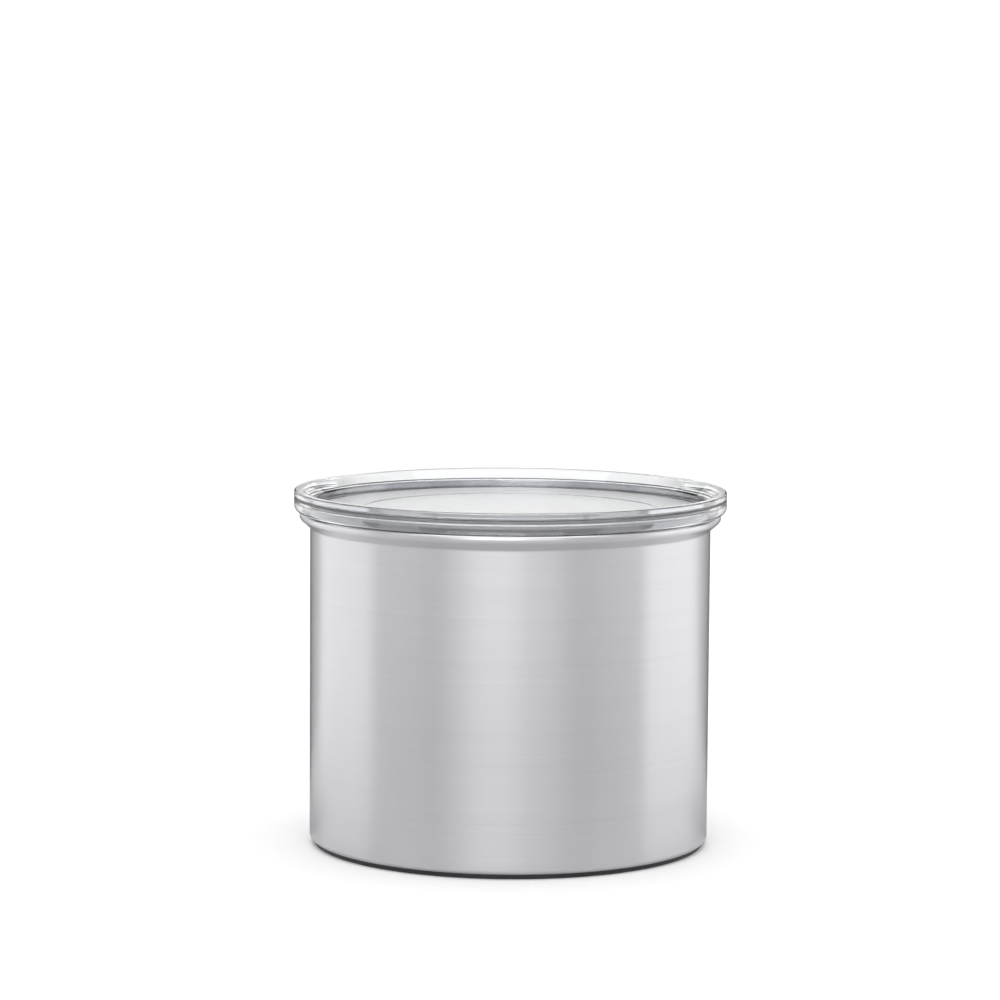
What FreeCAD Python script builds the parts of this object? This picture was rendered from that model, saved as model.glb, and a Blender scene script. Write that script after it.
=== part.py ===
import FreeCAD, Part
import math
import os
from types import SimpleNamespace

import Sketcher

Vector = FreeCAD.Vector

# Driving dimensions: millimetres, or degrees and counts where the name says so
DIMENSIONS = {
    # Steel can: drawn sheet with a tight base corner, a bead and a hemmed rim
    "body_radius": 58.8,
    "sheet": 0.7,
    "rim_height": 101.0,
    "base_corner": 1.4,
    "base_panel_rise": 1.2,
    "base_panel_slope": 2.0,
    "bead_reach": 3.1,
    "bead_drop": 3.0,
    "bead_height": 4.4,
    "bead_round": 1.5,
    "bead_shoulder": 1.0,
    "bead_root_round": 0.8,
    "flare_angle": 40.0,
    "mouth_step": 1.4,
    "collar_fillet": 0.4,
    "hem_height": 1.8,
    "hem_round": 0.3,
    # Black ring under the base
    "foot_height": 1.3,
    "foot_width": 8.0,
    "foot_inset": 1.4,
    "foot_margin": 1.2,
    "foot_round": 0.3,
    # Clear slip-on lid
    "lid_clearance": 0.3,
    "lid_seat_gap": 0.05,
    "lid_rise": 3.6,
    "skirt_wall": 2.3,
    "skirt_round": 1.8,
    "plug_wall": 1.4,
    "plug_round": 0.6,
    "lip_flat": 2.2,
    "lip_round": 0.5,
    "lip_roof": 3.4,
    "recess_depth": 5.8,
    "recess_draft": 0.2,
    "recess_flare": 3.6,
    "recess_fillet": 0.8,
    "lid_panel": 1.8,
    "lid_step_radius": 44.0,
    "lid_step": 0.5,
    # Inner lid: two moulded plates that clamp a wiper seal
    "plunger_rest": 41.0,
    "plate_gap": 1.6,
    "plate_round": 0.6,
    "lower_plate": 2.0,
    "lower_plate_round": 0.5,
    "spigot_height": 1.6,
    "spigot_wall": 1.6,
    "groove_height": 6.0,
    "groove_depth": 2.4,
    "hub_wall": 2.2,
    "floor_gap": 5.0,
    "floor": 2.4,
    "dish_fillet": 3.0,
    "rim_tall": 17.0,
    "rim_wall": 2.2,
    "fit_gap": 0.05,
    # Two-lip wiper seal
    "lip_gap": 0.25,
    "lip_tip": 0.45,
    "lip_length": 1.55,
    "lip_root": 0.85,
    "lip_stand_off": 0.2,
    "lip_neck": 0.4,
    "seal_waist": 0.7,
    # Plate screws
    "plate_screw_count": 6,
    "plate_screw_circle": 36.0,
    "plate_screw_radius": 1.25,
    "plate_screw_head": 2.7,
    "plate_screw_head_height": 1.8,
    "plate_screw_tip": 1.0,
    "plate_boss": 3.2,
    # Valve turret
    "bore_radius": 8.4,
    "turret_wall": 1.8,
    "barrel_wall": 2.6,
    "port_clearance": 0.15,
    "seat_drop": 0.4,
    "gasket": 0.6,
    "gasket_setback": 0.3,
    "flange_radius": 16.4,
    "flange": 1.8,
    "flange_round": 0.5,
    "turret_sink": 1.2,
    "turret_round": 0.5,
    "spider": 1.8,
    "spider_lift": 0.2,
    "spider_bite": 0.4,
    "vent_count": 6,
    "vent_radius": 1.6,
    "vent_circle": 6.1,
    "window_count": 6,
    "window_width": 4.0,
    "window_sill": 0.5,
    "window_height": 1.2,
    # Turret screws
    "valve_screw_count": 3,
    "valve_screw_circle": 13.6,
    "valve_screw_radius": 1.0,
    "valve_screw_head": 1.9,
    "valve_screw_head_height": 1.2,
    "valve_screw_depth": 3.0,
    "valve_boss": 2.3,
    "valve_boss_drop": 3.4,
    "pass_clearance": 0.2,
    # Stem, disc, spring and button
    "seal_gap": 0.05,
    "valve_disc": 1.2,
    "valve_disc_radius": 10.2,
    "valve_disc_round": 0.3,
    "stem_radius": 2.0,
    "stem_flange": 1.0,
    "stem_flange_radius": 8.0,
    "guide_clearance": 0.08,
    "spring_length": 5.6,
    "spring_radius": 4.9,
    "spring_wire": 0.3,
    "spring_turns": 4.0,
    "spring_gap": 0.05,
    "button_roof": 1.4,
    "button_skin": 0.6,
    "button_clearance": 0.35,
    "button_wall": 1.4,
    "button_skirt": 2.8,
    "button_boss": 3.5,
    "button_boss_drop": 1.2,
    "button_round": 0.5,
    # Folding handle on its pin
    "valve_travel": 2.0,
    "handle_swing_angle": 90.0,
    "cam_gap": 0.15,
    "cam_radius": 4.2,
    "cam_width": 10.0,
    "barrel_radius": 4.0,
    "barrel_length": 39.2,
    "handle_reach": 34.0,
    "handle_thickness": 7.0,
    "handle_neck": 9.0,
    "handle_neck_round": 4.0,
    "handle_shoulder": 27.0,
    "handle_shoulder_back": 15.5,
    "handle_grip_half": 25.0,
    "handle_arm": 6.6,
    "handle_hub_arm": 8.6,
    "handle_opening_back": 5.5,
    "handle_grip": 8.0,
    "handle_bridge": 9.0,
    "handle_shoulder_round": 6.0,
    "handle_outer_round": 9.0,
    "handle_inner_round": 3.6,
    "handle_edge_round": 2.0,
    "pin_radius": 1.5,
    "pin_clearance": 0.07,
    "pin_press": 0.02,
    "pin_end": 1.7,
    "clip_radius": 3.2,
    "clip_thickness": 1.2,
    "ear_gap": 0.4,
    "ear_thickness": 3.5,
    "ear_half_width": 7.5,
    "ear_top_half_width": 4.6,
    "ear_round": 4.0,
    "rest_radius": 2.6,
    "rest_spread": 16.0,
    "rest_gap": 0.3,
    # Strainer slots under the valve
    "slot_count": 12,
    "slot_start": 3.6,
    "slot_end": 10.0,
    "slot_width": 1.3,
}


class Size:
    """A size that knows its number and the sheet expression that gives it."""

    def __init__(self, value, text):
        self.value = value
        self.text = text

    def __add__(self, other):
        other = as_size(other)
        return Size(self.value + other.value, f"({self.text} + {other.text})")

    def __sub__(self, other):
        other = as_size(other)
        return Size(self.value - other.value, f"({self.text} - {other.text})")

    def __mul__(self, other):
        other = as_size(other)
        return Size(self.value * other.value, f"({self.text} * {other.text})")

    def __truediv__(self, other):
        other = as_size(other)
        return Size(self.value / other.value, f"({self.text} / {other.text})")

    def __neg__(self):
        return self * -1


def as_size(number):
    return number if isinstance(number, Size) else Size(number, repr(number))


def tangent_of(angle):
    return Size(math.tan(math.radians(angle.value)), f"tan({angle.text} * 1 deg)")


def cosine_of(angle):
    return Size(math.cos(math.radians(angle.value)), f"cos({angle.text} * 1 deg)")


ZERO = Size(0, "0")

doc = FreeCAD.newDocument("Canister")
sheet = doc.addObject("Spreadsheet::Sheet", "Dimensions")
for row, (alias, number) in enumerate(DIMENSIONS.items(), start=1):
    sheet.set(f"A{row}", alias.replace("_", " "))
    sheet.set(f"B{row}", str(number))
    sheet.setAlias(f"B{row}", alias)
doc.recompute()
d = SimpleNamespace(**{alias: Size(number, f"Dimensions.{alias}") for alias, number in DIMENSIONS.items()})


class Drawing:
    """A sketch on one of a body's origin planes, with every point tied to the sheet."""

    def __init__(self, body, name, plane, offset=None):
        self.body = body
        self.sketch = body.newObject("Sketcher::SketchObject", name)
        support = next(f for f in body.Origin.OriginFeatures if f.Role == plane)
        self.sketch.AttachmentSupport = [(support, "")]
        self.sketch.MapMode = "FlatFace"
        if offset is not None:
            self.sketch.setExpression("AttachmentOffset.Base.z", offset.text)

    def hold(self, kind, *where):
        return self.sketch.addConstraint(Sketcher.Constraint(kind, *where))

    def measure(self, kind, size, *where):
        index = self.hold(kind, *where, size.value)
        self.sketch.setExpression(f"Constraints[{index}]", size.text)

    def pin(self, geometry, point, x, y):
        """Holds one point of a geometry at x and y from the sketch's origin."""
        for kind, axis, size in (("DistanceX", -2, x), ("DistanceY", -1, y)):
            if size.value == 0:
                self.hold("PointOnObject", geometry, point, axis)
            elif size.value > 0:
                self.measure(kind, size, -1, 1, geometry, point)
            else:
                self.measure(kind, -size, geometry, point, -1, 1)

    def circle(self, x, y, radius):
        centre = Vector(x.value, y.value, 0)
        geometry = self.sketch.addGeometry(Part.Circle(centre, Vector(0, 0, 1), radius.value), False)
        self.pin(geometry, 3, x, y)
        self.measure("Radius", radius, geometry)
        return self

    def outline(self, *corners):
        """Draws a closed outline through corners given as (x, y) or (x, y, rounding)."""
        count = len(corners)
        points = [Vector(x.value, y.value, 0) for x, y, *_ in corners]
        arcs = [None] * count
        enters = list(points)
        leaves = list(points)
        for i, (_, _, *rounding) in enumerate(corners):
            if not rounding:
                continue
            radius = rounding[0].value
            back = (points[i - 1] - points[i]).normalize()
            ahead = (points[(i + 1) % count] - points[i]).normalize()
            half = back.getAngle(ahead) / 2
            reach = radius / math.tan(half)
            enters[i] = points[i] + back * reach
            leaves[i] = points[i] + ahead * reach
            centre = points[i] + (back + ahead).normalize() * (radius / math.sin(half))
            turns_left = back.cross(ahead).z < 0
            start, end = (enters[i], leaves[i]) if turns_left else (leaves[i], enters[i])
            angles = [math.atan2(p.y - centre.y, p.x - centre.x) for p in (start, end)]
            ring = Part.Circle(centre, Vector(0, 0, 1), radius)
            geometry = self.sketch.addGeometry(Part.ArcOfCircle(ring, *angles), False)
            arcs[i] = (geometry, 1 if turns_left else 2, 2 if turns_left else 1)
        lines = []
        for i in range(count):
            edge = Part.LineSegment(leaves[i], enters[(i + 1) % count])
            lines.append(self.sketch.addGeometry(edge, False))
        for i, (x, y, *rounding) in enumerate(corners):
            if not rounding:
                self.hold("Coincident", lines[i - 1], 2, lines[i], 1)
                self.pin(lines[i], 1, x, y)
                continue
            arc, arc_enter, arc_leave = arcs[i]
            corner = self.sketch.addGeometry(Part.Point(points[i]), True)
            self.hold("PointOnObject", corner, 1, lines[i - 1])
            self.hold("PointOnObject", corner, 1, lines[i])
            self.pin(corner, 1, x, y)
            self.hold("Tangent", lines[i - 1], 2, arc, arc_enter)
            self.hold("Tangent", arc, arc_leave, lines[i], 1)
            self.measure("Radius", rounding[0], arc)
        return self

    def extrude(self, kind, length, symmetric):
        feature = self.body.newObject(f"PartDesign::{kind}", f"{self.sketch.Name}_{kind.lower()}")
        feature.Profile = self.sketch
        feature.setExpression("Length", length.text)
        if symmetric:
            feature.SideType = "Symmetric"
        return feature

    def pad(self, length, symmetric=False):
        return self.extrude("Pad", length, symmetric)

    def pocket(self, length, symmetric=False):
        return self.extrude("Pocket", length, symmetric)

    def revolve(self):
        feature = self.body.newObject("PartDesign::Revolution", f"{self.sketch.Name}_revolution")
        feature.Profile = self.sketch
        feature.ReferenceAxis = (self.sketch, ["V_Axis"])
        feature.Angle = 360
        return feature


def new_body(label, lift=None):
    body = doc.addObject("PartDesign::Body", label)
    if lift is not None:
        body.setExpression("Placement.Base.z", lift.text)
    return body


def turned(label, corners, lift=None):
    """A body whose first feature is a full turn of an outline about Z."""
    body = new_body(label, lift)
    Drawing(body, f"{label}_profile", "XZ_Plane").outline(*corners).revolve()
    return body


def repeat_round(body, features, count):
    """Repeats features evenly about Z."""
    feature = body.newObject("PartDesign::PolarPattern", f"{features[0].Name}_round")
    feature.Originals = features
    feature.Axis = (next(f for f in body.Origin.OriginFeatures if f.Role == "Z_Axis"), [""])
    feature.Angle = 360
    feature.setExpression("Occurrences", count.text)
    body.Tip = feature
    return feature


# Radii and heights that the pieces share
wall_inner = d.body_radius - d.sheet
mouth_radius = wall_inner + d.mouth_step
collar_radius = mouth_radius + d.sheet
hem_radius = collar_radius + d.sheet
bead_top = d.rim_height - d.bead_drop
foot_outer = d.body_radius - d.foot_inset
foot_inner = foot_outer - d.foot_width
plate_radius = wall_inner - d.plate_gap
hub_outer = plate_radius - d.groove_depth
hub_inner = hub_outer - d.hub_wall
groove_top = d.lower_plate + d.groove_height
floor_bottom = d.lower_plate + d.floor_gap
floor_top = floor_bottom + d.floor
barrel_outer = d.bore_radius + d.barrel_wall
port_radius = barrel_outer + d.port_clearance
seat_level = floor_bottom - d.seat_drop
flange_bottom = floor_top + d.gasket
flange_top = flange_bottom + d.flange
spider_bottom = seat_level + d.spider_lift
spider_top = spider_bottom + d.spider
roof_level = spider_top + d.spring_length
button_top = roof_level + d.button_roof
disc_top = seat_level - d.seal_gap
disc_bottom = disc_top - d.valve_disc
stem_bottom = disc_bottom - d.stem_flange
stem_top = button_top - d.button_skin
pivot_level = button_top + d.cam_gap + d.cam_radius
ear_inner = d.barrel_length / 2 + d.ear_gap
ear_outer = ear_inner + d.ear_thickness


def make_steel_body():
    """Drawn can: one sheet turned about Z, from the raised base panel to the hem."""
    bead_radius = d.body_radius + d.bead_reach
    bead_root = bead_top - d.bead_height
    bead_knee = bead_root + d.bead_reach * tangent_of(d.flare_angle)
    inner_shift = d.sheet / cosine_of(d.flare_angle) - d.sheet * tangent_of(d.flare_angle)
    panel_outer = foot_inner - d.foot_margin
    panel_inner = panel_outer - d.base_panel_slope
    panel_level = d.foot_height + d.base_panel_rise
    outside = [
        (ZERO, panel_level),
        (panel_inner, panel_level),
        (panel_outer, d.foot_height),
        (d.body_radius, d.foot_height, d.base_corner),
        (d.body_radius, bead_root, d.bead_root_round),
        (bead_radius, bead_knee, d.bead_round),
        (bead_radius, bead_top, d.bead_shoulder),
        (collar_radius, bead_top, d.collar_fillet),
        (collar_radius, d.rim_height - d.hem_height),
        (hem_radius, d.rim_height - d.hem_height, d.hem_round),
        (hem_radius, d.rim_height, d.hem_round),
    ]
    inside = [
        (mouth_radius, d.rim_height, d.hem_round),
        (mouth_radius, bead_top - d.sheet, d.collar_fillet + d.sheet),
        (bead_radius - d.sheet, bead_top - d.sheet, d.bead_shoulder - d.sheet),
        (bead_radius - d.sheet, bead_knee + inner_shift, d.bead_round - d.sheet),
        (wall_inner, bead_root + inner_shift, d.bead_root_round + d.sheet),
        (wall_inner, d.foot_height + d.sheet, d.base_corner - d.sheet),
        (panel_outer, d.foot_height + d.sheet),
        (panel_inner, panel_level + d.sheet),
        (ZERO, panel_level + d.sheet),
    ]
    turned("steel_body", outside + inside)


def make_base_ring():
    """Flat ring glued under the base, on which the can stands."""
    turned(
        "base_ring",
        [
            (foot_inner, ZERO, d.foot_round),
            (foot_outer, ZERO, d.foot_round),
            (foot_outer, d.foot_height),
            (foot_inner, d.foot_height),
        ],
    )


def make_clear_lid():
    """Lid in one turn: recessed panel, flared recess, flat lip, skirt and the channel over the rim."""
    lid_top = d.rim_height + d.lid_rise
    skirt_inner = hem_radius + d.lid_clearance
    skirt_bottom = bead_top + d.lid_clearance
    lid_radius = skirt_inner + d.skirt_wall
    plug_radius = mouth_radius - d.lid_clearance
    recess_radius = plug_radius - d.plug_wall
    stop_level = d.rim_height + d.lid_seat_gap
    roof = lid_top - d.lip_roof
    panel_top = lid_top - d.recess_depth
    panel_bottom = panel_top - d.lid_panel
    step_outer = d.lid_step_radius + d.lid_step
    turned(
        "clear_lid",
        [
            (ZERO, panel_top - d.lid_step),
            (d.lid_step_radius, panel_top - d.lid_step),
            (step_outer, panel_top),
            (recess_radius, panel_top, d.recess_fillet),
            (recess_radius + d.recess_draft, lid_top - d.recess_flare, d.recess_fillet),
            (lid_radius - d.lip_flat, lid_top, d.lip_round),
            (lid_radius, lid_top, d.lip_round),
            (lid_radius, skirt_bottom, d.skirt_round),
            (skirt_inner, skirt_bottom),
            (skirt_inner, stop_level),
            (collar_radius, stop_level),
            (collar_radius, roof),
            (plug_radius, roof),
            (plug_radius, panel_bottom, d.plug_round),
            (step_outer, panel_bottom),
            (d.lid_step_radius, panel_bottom - d.lid_step),
            (ZERO, panel_bottom - d.lid_step),
        ],
    )


def make_plunger_plate():
    """Upper moulding of the inner lid: dish, hinge ears, handle rests and screw bosses."""
    body = turned(
        "plunger_plate",
        [
            (port_radius, floor_bottom),
            (hub_inner, floor_bottom, d.plate_round),
            (hub_inner, d.lower_plate),
            (hub_outer, d.lower_plate),
            (hub_outer, groove_top),
            (plate_radius, groove_top),
            (plate_radius, d.rim_tall, d.plate_round),
            (plate_radius - d.rim_wall, d.rim_tall, d.plate_round),
            (plate_radius - d.rim_wall, floor_top, d.dish_fillet),
            (port_radius, floor_top),
        ],
        d.plunger_rest,
    )
    root = floor_bottom + d.floor / 2
    ear_top = pivot_level + d.ear_top_half_width
    for side, offset in (("right", ear_inner), ("left", -ear_outer)):
        ear = Drawing(body, f"ear_{side}", "YZ_Plane", offset)
        ear.outline(
            (-d.ear_half_width, root),
            (d.ear_half_width, root),
            (d.ear_top_half_width, ear_top, d.ear_round),
            (-d.ear_top_half_width, ear_top, d.ear_round),
        )
        ear.pad(d.ear_thickness)
    rests = Drawing(body, "handle_rests", "XY_Plane", root)
    rest_back = d.handle_grip / 2 - d.handle_reach
    for spread in (d.rest_spread, -d.rest_spread):
        rests.circle(spread, rest_back, d.rest_radius)
    rests.pad(pivot_level - d.handle_thickness / 2 - d.rest_gap - root)
    pin_hole = Drawing(body, "ear_bore", "YZ_Plane")
    pin_hole.circle(ZERO, pivot_level, d.pin_radius + d.pin_press)
    pin_hole.pocket(ear_outer * 2 + d.ear_thickness, symmetric=True)
    boss = Drawing(body, "turret_boss", "XY_Plane", floor_bottom - d.valve_boss_drop)
    boss.circle(ZERO, d.valve_screw_circle, d.valve_boss)
    boss_pad = boss.pad(root - floor_bottom + d.valve_boss_drop)
    repeat_round(body, [boss_pad], d.valve_screw_count)
    pilot = Drawing(body, "turret_pilot", "XY_Plane", floor_top)
    pilot.circle(ZERO, d.valve_screw_circle, d.valve_screw_radius + d.fit_gap)
    repeat_round(body, [pilot.pocket(d.floor + d.valve_screw_depth)], d.valve_screw_count)
    passage = Drawing(body, "plate_passage", "XY_Plane", floor_top)
    passage.circle(ZERO, d.plate_screw_circle, d.plate_screw_radius + d.pass_clearance)
    repeat_round(body, [passage.pocket(d.floor)], d.plate_screw_count)


def make_lower_plate():
    """Underside of the inner lid: clamps the seal, with screw bosses and a slotted strainer."""
    spigot_outer = hub_inner - d.fit_gap
    spigot_top = d.lower_plate + d.spigot_height
    body = turned(
        "lower_plate",
        [
            (ZERO, ZERO),
            (plate_radius, ZERO, d.lower_plate_round),
            (plate_radius, d.lower_plate),
            (spigot_outer, d.lower_plate),
            (spigot_outer, spigot_top),
            (spigot_outer - d.spigot_wall, spigot_top),
            (spigot_outer - d.spigot_wall, d.lower_plate),
            (ZERO, d.lower_plate),
        ],
        d.plunger_rest,
    )
    half = d.lower_plate / 2
    boss = Drawing(body, "plate_boss", "XY_Plane", half)
    boss.circle(ZERO, d.plate_screw_circle, d.plate_boss)
    repeat_round(body, [boss.pad(floor_bottom - half)], d.plate_screw_count)
    pilot = Drawing(body, "plate_pilot", "XY_Plane", floor_bottom)
    pilot.circle(ZERO, d.plate_screw_circle, d.plate_screw_radius + d.fit_gap)
    repeat_round(body, [pilot.pocket(floor_bottom - half)], d.plate_screw_count)
    slot = Drawing(body, "strainer_slot", "XY_Plane", d.lower_plate)
    slot.outline(
        (d.slot_start, -d.slot_width / 2),
        (d.slot_end, -d.slot_width / 2),
        (d.slot_end, d.slot_width / 2),
        (d.slot_start, d.slot_width / 2),
    )
    repeat_round(body, [slot.pocket(d.lower_plate)], d.slot_count)


def make_wiper_seal():
    """Silicone ring held between the plates, with one lip that points up and one that points down."""
    tip = wall_inner - d.lip_gap
    back = hub_outer + d.fit_gap
    root = plate_radius + d.lip_stand_off
    low = d.lower_plate + d.fit_gap
    high = groove_top - d.fit_gap
    waist = plate_radius - d.lip_stand_off
    turned(
        "wiper_seal",
        [
            (back, low),
            (root, low),
            (tip - d.lip_tip, low - d.lip_length),
            (tip, low - d.lip_length),
            (root + d.lip_neck, low + d.lip_root),
            (waist, low + d.lip_root + d.seal_waist),
            (waist, high - d.lip_root - d.seal_waist),
            (root + d.lip_neck, high - d.lip_root),
            (tip, high + d.lip_length),
            (tip - d.lip_tip, high + d.lip_length),
            (root, high),
            (back, high),
        ],
        d.plunger_rest,
    )


def make_screws(label, circle, count, radius, tip, seat, head, head_height):
    """Pan-head screws on a circle, as separate solids of one group."""
    body = new_body(label, d.plunger_rest)
    shank = Drawing(body, f"{label}_shank", "XY_Plane", tip)
    shank.circle(ZERO, circle, radius)
    shank_pad = shank.pad(seat - tip)
    cap = Drawing(body, f"{label}_head", "XY_Plane", seat)
    cap.circle(ZERO, circle, head)
    repeat_round(body, [shank_pad, cap.pad(head_height)], count)


def make_valve_body():
    """Turret: flange on the dish, seat below, guide spider inside and air windows round it."""
    turret_radius = d.bore_radius + d.turret_wall
    turret_top = button_top - d.turret_sink
    body = turned(
        "valve_body",
        [
            (d.bore_radius, seat_level),
            (barrel_outer, seat_level),
            (barrel_outer, flange_bottom),
            (d.flange_radius, flange_bottom),
            (d.flange_radius, flange_top, d.flange_round),
            (turret_radius, flange_top, d.flange_round),
            (turret_radius, turret_top, d.turret_round),
            (d.bore_radius, turret_top),
        ],
        d.plunger_rest,
    )
    spider = Drawing(body, "spider", "XY_Plane", spider_bottom)
    spider.circle(ZERO, ZERO, d.bore_radius + d.spider_bite)
    spider.pad(d.spider)
    guide = Drawing(body, "stem_guide", "XY_Plane", spider_top)
    guide.circle(ZERO, ZERO, d.stem_radius + d.guide_clearance)
    guide.pocket(d.spider)
    vent = Drawing(body, "vent", "XY_Plane", spider_top)
    vent.circle(ZERO, d.vent_circle, d.vent_radius)
    repeat_round(body, [vent.pocket(d.spider)], d.vent_count)
    window = Drawing(body, "air_window", "XZ_Plane")
    sill = flange_top + d.window_sill
    window.outline(
        (-d.window_width / 2, sill),
        (d.window_width / 2, sill),
        (d.window_width / 2, sill + d.window_height),
        (-d.window_width / 2, sill + d.window_height),
    )
    repeat_round(body, [window.pocket(d.flange_radius)], d.window_count)
    hole = Drawing(body, "flange_hole", "XY_Plane", flange_top)
    hole.circle(ZERO, d.valve_screw_circle, d.valve_screw_radius + d.pass_clearance)
    repeat_round(body, [hole.pocket(d.flange)], d.valve_screw_count)


def make_valve_gasket():
    """Flat gasket between the turret's flange and the dish."""
    body = turned(
        "valve_gasket",
        [
            (port_radius, floor_top),
            (d.flange_radius - d.gasket_setback, floor_top),
            (d.flange_radius - d.gasket_setback, flange_bottom),
            (port_radius, flange_bottom),
        ],
        d.plunger_rest,
    )
    hole = Drawing(body, "gasket_hole", "XY_Plane", flange_bottom)
    hole.circle(ZERO, d.valve_screw_circle, d.valve_screw_radius + d.pass_clearance)
    repeat_round(body, [hole.pocket(d.gasket)], d.valve_screw_count)


def make_valve_stem():
    """Stem with the flange that carries the disc."""
    turned(
        "valve_stem",
        [
            (ZERO, stem_bottom),
            (d.stem_flange_radius, stem_bottom),
            (d.stem_flange_radius, disc_bottom),
            (d.stem_radius, disc_bottom),
            (d.stem_radius, stem_top),
            (ZERO, stem_top),
        ],
        d.plunger_rest,
    )


def make_valve_disc():
    """Silicone disc that closes the seat from below."""
    turned(
        "valve_disc",
        [
            (d.stem_radius + d.fit_gap, disc_bottom),
            (d.valve_disc_radius, disc_bottom, d.valve_disc_round),
            (d.valve_disc_radius, disc_top, d.valve_disc_round),
            (d.stem_radius + d.fit_gap, disc_top),
        ],
        d.plunger_rest,
    )


def make_valve_spring():
    """Coil spring between the spider and the button's roof."""
    body = new_body("valve_spring", d.plunger_rest)
    rise = d.spring_wire + d.spring_gap
    section = Drawing(body, "spring_section", "XZ_Plane")
    section.circle(d.spring_radius, spider_top + rise, d.spring_wire)
    coil = body.newObject("PartDesign::AdditiveHelix", "spring_coil")
    coil.Profile = section.sketch
    coil.ReferenceAxis = (section.sketch, ["V_Axis"])
    coil.Mode = "height-turns-angle"
    coil.setExpression("Height", (d.spring_length - rise * 2).text)
    coil.setExpression("Turns", d.spring_turns.text)


def make_valve_button():
    """Cap pressed on the stem, with a skirt round the spring."""
    button_radius = d.bore_radius - d.button_clearance
    skirt_inner = button_radius - d.button_wall
    skirt_bottom = roof_level - d.button_skirt
    boss_bottom = roof_level - d.button_boss_drop
    socket = d.stem_radius + d.fit_gap
    turned(
        "valve_button",
        [
            (ZERO, stem_top),
            (socket, stem_top),
            (socket, boss_bottom),
            (d.button_boss, boss_bottom),
            (d.button_boss, roof_level),
            (skirt_inner, roof_level),
            (skirt_inner, skirt_bottom),
            (button_radius, skirt_bottom),
            (button_radius, button_top, d.button_round),
            (ZERO, button_top),
        ],
        d.plunger_rest,
    )


def cam_lobe():
    """Edges of the lobe in the YZ plane. Its working flank is the involute whose lift grows in step
    with the turn, so a flat follower sinks by the same amount for each degree of the handle."""
    turn = math.radians(d.handle_swing_angle.value)
    rate = d.valve_travel.value / turn
    radius = d.cam_radius.value
    steps = 12
    flank = []
    for i in range(steps + 1):
        angle = turn * i / steps
        support = radius + rate * angle
        flank.append(
            Vector(
                support * math.sin(angle) + rate * math.cos(angle),
                pivot_level.value - support * math.cos(angle) + rate * math.sin(angle),
                0,
            )
        )
    curve = Part.BSplineCurve()
    curve.interpolate(flank)
    heel = Vector(0, pivot_level.value - radius, 0)
    crown = Vector(0, pivot_level.value + d.barrel_radius.value, 0)
    return [
        Part.LineSegment(heel, flank[0]),
        curve,
        Part.LineSegment(flank[-1], crown),
        Part.LineSegment(crown, heel),
    ]


def make_handle():
    """Folding handle: a rounded loop, the barrel on the pin and the cam lobe over the button."""
    body = new_body("handle", d.plunger_rest)
    half_barrel = d.barrel_length / 2
    shoulder = d.handle_shoulder_back - d.handle_reach
    loop = Drawing(body, "handle_loop", "XY_Plane", pivot_level)
    loop.outline(
        (half_barrel, ZERO),
        (-half_barrel, ZERO),
        (-half_barrel, -d.handle_neck, d.handle_neck_round),
        (-d.handle_shoulder, shoulder, d.handle_shoulder_round),
        (-d.handle_grip_half, -d.handle_reach, d.handle_outer_round),
        (d.handle_grip_half, -d.handle_reach, d.handle_outer_round),
        (d.handle_shoulder, shoulder, d.handle_shoulder_round),
        (half_barrel, -d.handle_neck, d.handle_neck_round),
    )
    inner_grip = d.handle_grip - d.handle_reach
    inner_shoulder = inner_grip + d.handle_opening_back
    loop.outline(
        (half_barrel - d.handle_hub_arm, -d.handle_bridge, d.handle_inner_round),
        (d.handle_shoulder - d.handle_arm, inner_shoulder, d.handle_inner_round),
        (d.handle_grip_half - d.handle_arm, inner_grip, d.handle_inner_round),
        (d.handle_arm - d.handle_grip_half, inner_grip, d.handle_inner_round),
        (d.handle_arm - d.handle_shoulder, inner_shoulder, d.handle_inner_round),
        (d.handle_hub_arm - half_barrel, -d.handle_bridge, d.handle_inner_round),
    )
    slab = loop.pad(d.handle_thickness, symmetric=True)
    doc.recompute()
    rounded = []
    for number, edge in enumerate(slab.Shape.Edges, start=1):
        box = edge.BoundBox
        if box.ZLength < 1e-6 and box.YMin < -1e-6:
            rounded.append(f"Edge{number}")
    soften = body.newObject("PartDesign::Fillet", "handle_edges")
    soften.Base = (slab, rounded)
    soften.setExpression("Radius", d.handle_edge_round.text)
    barrel = Drawing(body, "handle_barrel", "YZ_Plane")
    barrel.circle(ZERO, pivot_level, d.barrel_radius)
    barrel.pad(d.barrel_length, symmetric=True)
    lobe = Drawing(body, "cam_lobe", "YZ_Plane")
    for edge in cam_lobe():
        lobe.sketch.addGeometry(edge, False)
    lobe.pad(d.cam_width, symmetric=True)
    bore = Drawing(body, "handle_bore", "YZ_Plane")
    bore.circle(ZERO, pivot_level, d.pin_radius + d.pin_clearance)
    bore.pocket(d.barrel_length * 2, symmetric=True)


def make_hinge_pin():
    """Steel pin through the ears and the handle's barrel."""
    body = new_body("hinge_pin", d.plunger_rest)
    pin = Drawing(body, "pin_section", "YZ_Plane")
    pin.circle(ZERO, pivot_level, d.pin_radius)
    pin.pad((ear_outer + d.pin_end) * 2, symmetric=True)


def make_pin_clips():
    """Push-on clips that keep the pin in the ears."""
    body = new_body("pin_clips", d.plunger_rest)
    for side, offset in (("right", ear_outer + d.fit_gap), ("left", -ear_outer - d.fit_gap - d.clip_thickness)):
        clip = Drawing(body, f"clip_{side}", "YZ_Plane", offset)
        clip.circle(ZERO, pivot_level, d.clip_radius)
        clip.circle(ZERO, pivot_level, d.pin_radius + d.pin_press)
        clip.pad(d.clip_thickness)


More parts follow.
